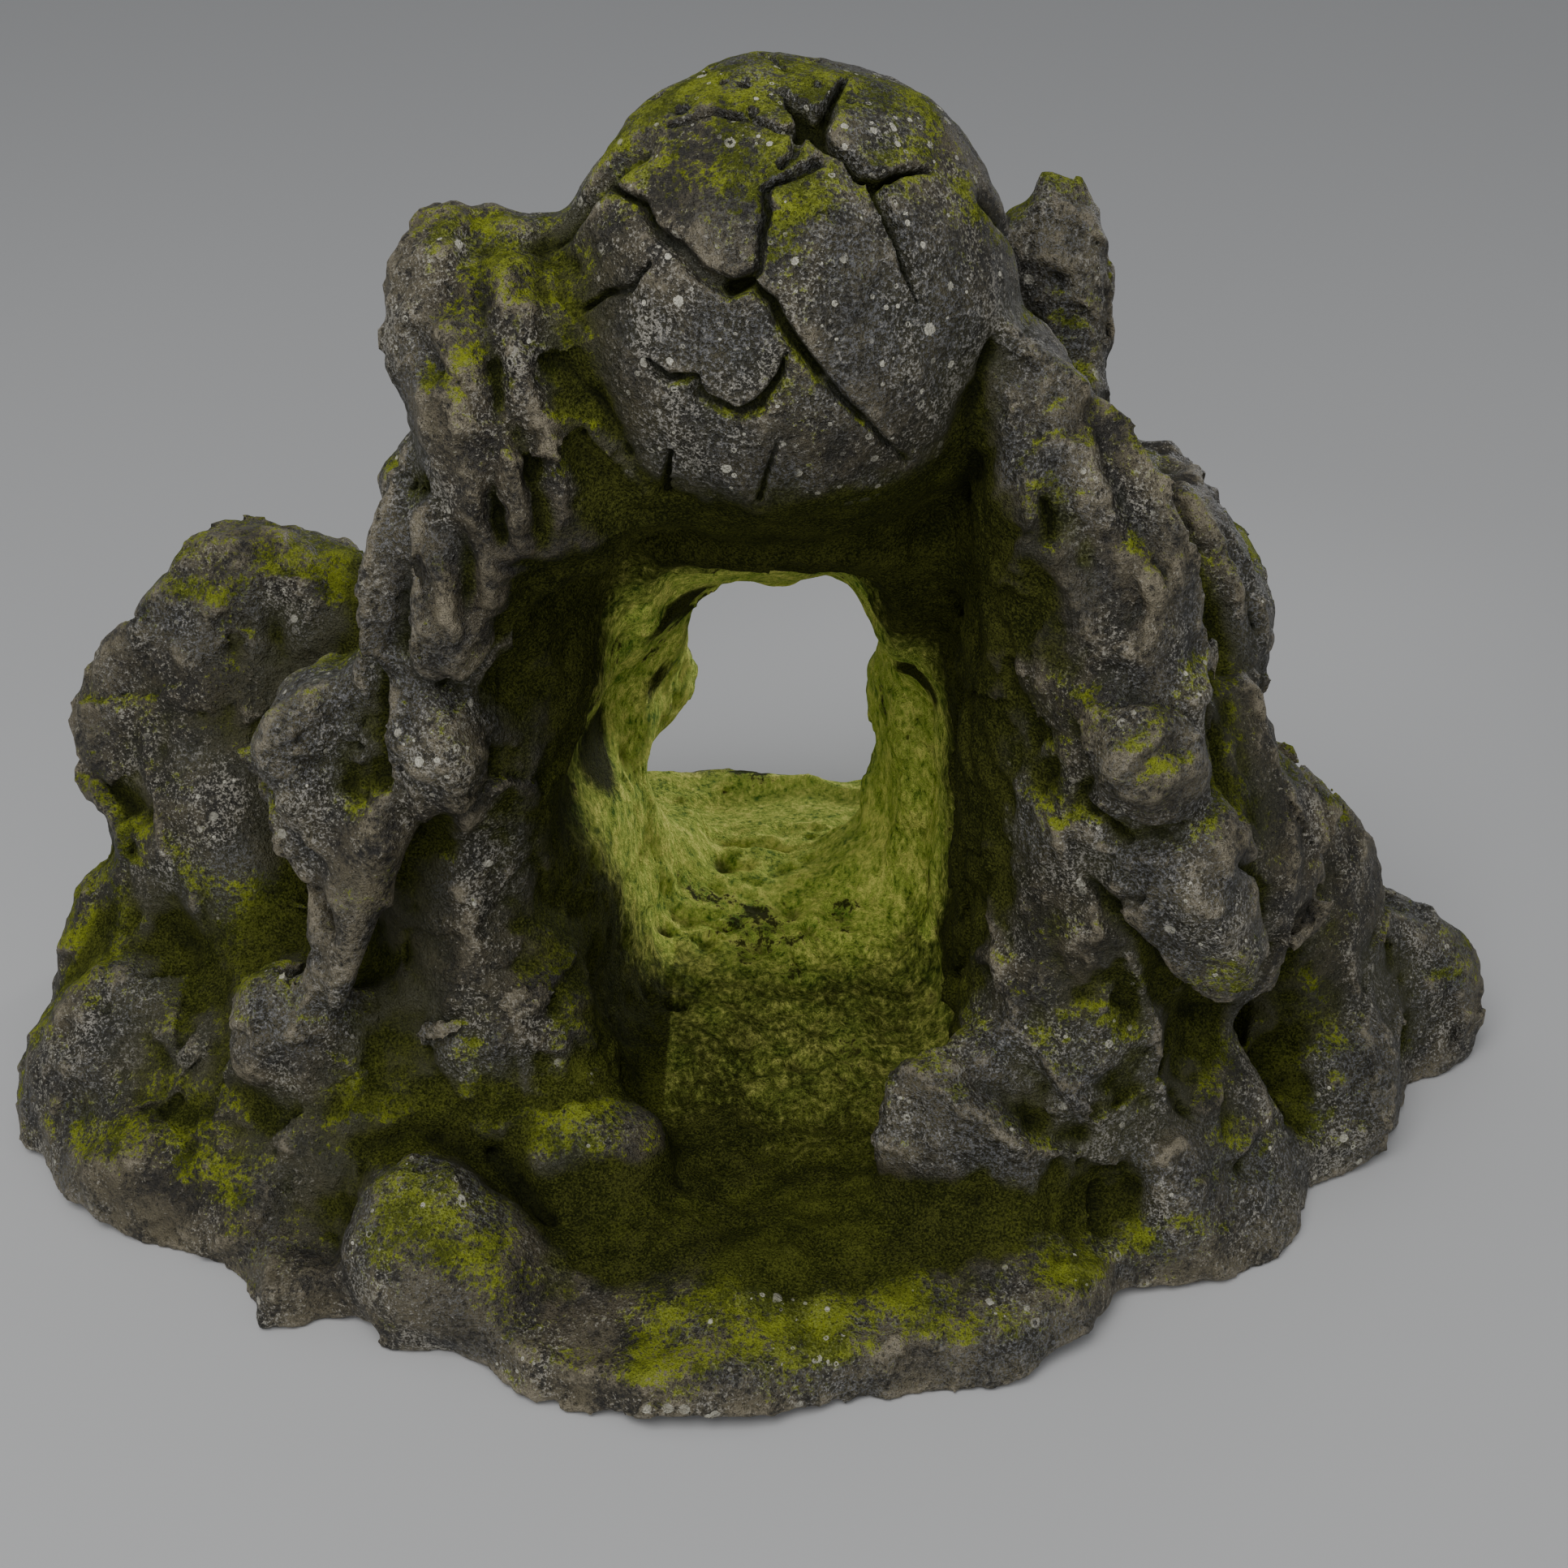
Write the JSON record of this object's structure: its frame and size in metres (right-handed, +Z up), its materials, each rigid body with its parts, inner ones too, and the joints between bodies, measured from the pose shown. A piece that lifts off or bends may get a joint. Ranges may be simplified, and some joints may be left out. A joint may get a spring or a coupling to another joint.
{
  "type": "aquarium cave ornament",
  "caption": "Arch of stacked resin stones with a cracked round boulder wedged in its crown, over a swim-through passage with a mossy floor.",
  "frame": {"origin": "on the flat underside of the ground slab, under the middle of the arch", "axes": "+Z up; +X to the right as seen from the front, along the ornament's length; the front portal faces -Y"},
  "size_m": [0.2807, 0.2, 0.1942],
  "materials": {
    "stone_resin": "matte painted stone grain with moss and lichen",
    "boulder_resin": "matte painted speckled stone, cracked, moss on top",
    "ground_resin": "matte painted stone with patches of moss",
    "moss_path_resin": "matte painted moss",
    "passage_resin": "matte, bright yellow-green algae colour"
  },
  "bodies": {
    "root": {"crack_chip": "boulder_resin", "crown_boulder": "boulder_resin", "front_apron": "ground_resin", "front_left_boulder": "stone_resin", "front_left_shelf": "stone_resin", "front_right_knob": "stone_resin", "front_right_step": "stone_resin", "front_right_stone": "stone_resin", "ground_slab": "ground_resin", "left_back_knob": "stone_resin", "left_edge_stone": "stone_resin", "left_inner_stone": "stone_resin", "left_low_stone": "stone_resin", "left_mid_ledge": "stone_resin", "left_mound": "stone_resin", "left_mound_knob": "stone_resin", "left_outer_stone": "stone_resin", "left_pillar": "stone_resin", "left_rear_jamb": "passage_resin", "left_rear_stone": "stone_resin", "left_shoulder": "stone_resin", "left_slab_edge": "stone_resin", "left_tooth": "stone_resin", "left_upper_ledge": "stone_resin", "left_wing_slab": "stone_resin", "path_floor": "moss_path_resin", "path_pebble": "stone_resin", "rear_brow_stone": "stone_resin", "rear_left_ledge": "stone_resin", "rear_left_stone": "stone_resin", "rear_right_stone": "stone_resin", "rear_sill": "moss_path_resin", "right_ear": "stone_resin", "right_front_slab": "stone_resin", "right_knob": "stone_resin", "right_low_slab": "stone_resin", "right_low_stone": "stone_resin", "right_mid_fold": "stone_resin", "right_outer_fold": "stone_resin", "right_outlier": "stone_resin", "right_pillar": "stone_resin", "right_rear_bulge": "stone_resin", "right_rear_jamb": "passage_resin", "right_rear_stone": "stone_resin", "right_ridge": "stone_resin", "roof_stone": "passage_resin"}
  },
  "joints": []
}
